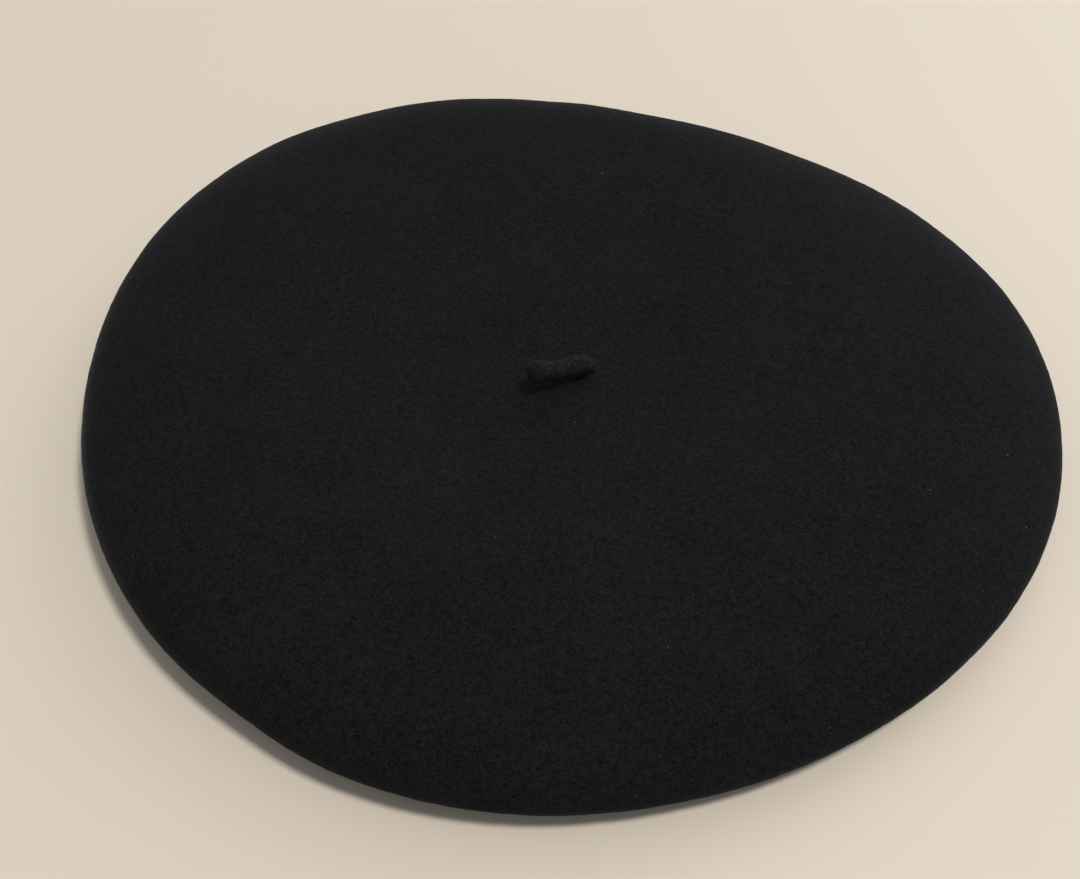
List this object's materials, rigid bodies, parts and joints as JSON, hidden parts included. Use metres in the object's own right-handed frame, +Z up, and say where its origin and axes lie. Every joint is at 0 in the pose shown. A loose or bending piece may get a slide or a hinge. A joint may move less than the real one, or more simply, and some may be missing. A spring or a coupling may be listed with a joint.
{
  "type": "beret",
  "caption": "Large wool-felt beret with a rolled rim, felt stalk, leather sweatband with ribbon bow, and satin lining.",
  "frame": {"origin": "middle of the head opening, in the plane that the hat rests on", "axes": "+Z up through the crown, +Y towards the back of the head opening, where the sweatband's ends meet, +X to the right"},
  "size_m": [0.2852, 0.2711, 0.0363],
  "materials": {
    "black_felt": "fulled wool nap, matte",
    "black_thread": "waxed sewing thread",
    "black_leather": "fine-grained, semi-matte",
    "black_ribbon": "ribbed grosgrain",
    "lining_satin": "satin sheen",
    "label_weave": "woven damask, blank",
    "clear_film": "soft clear plastic film"
  },
  "bodies": {
    "hat": {"felt_body": "black_felt", "stalk_root_stitches": "black_thread", "sweatband": "black_leather", "sweatband_seam_stitches": "black_thread", "sweatband_join_stitches": "black_thread", "bow_loops": "black_ribbon", "bow_tails": "black_ribbon", "bow_knot": "black_ribbon", "lining_tip": "lining_satin", "lining_side": "lining_satin", "lining_seam_stitches": "black_thread", "maker_label": "label_weave", "label_window": "clear_film", "window_stitches": "black_thread", "care_label_stitches": "black_thread", "size_tab": "label_weave"},
    "stalk": {"stalk": "black_felt"},
    "care_label": {"care_label": "label_weave"}
  },
  "joints": [
    {"name": "stalk_bend", "type": "hinge", "parent": "hat", "child": "stalk", "pos_m": [0.0063, -0.0045, 0.0295], "axis": [-0.4848, 0.8746, 0], "range_deg": [0, 74]},
    {"name": "care_label_flip", "type": "hinge", "parent": "hat", "child": "care_label", "pos_m": [-0.076, 0, 0.0214], "axis": [0, 1, 0], "range_deg": [-75, 75]}
  ]
}
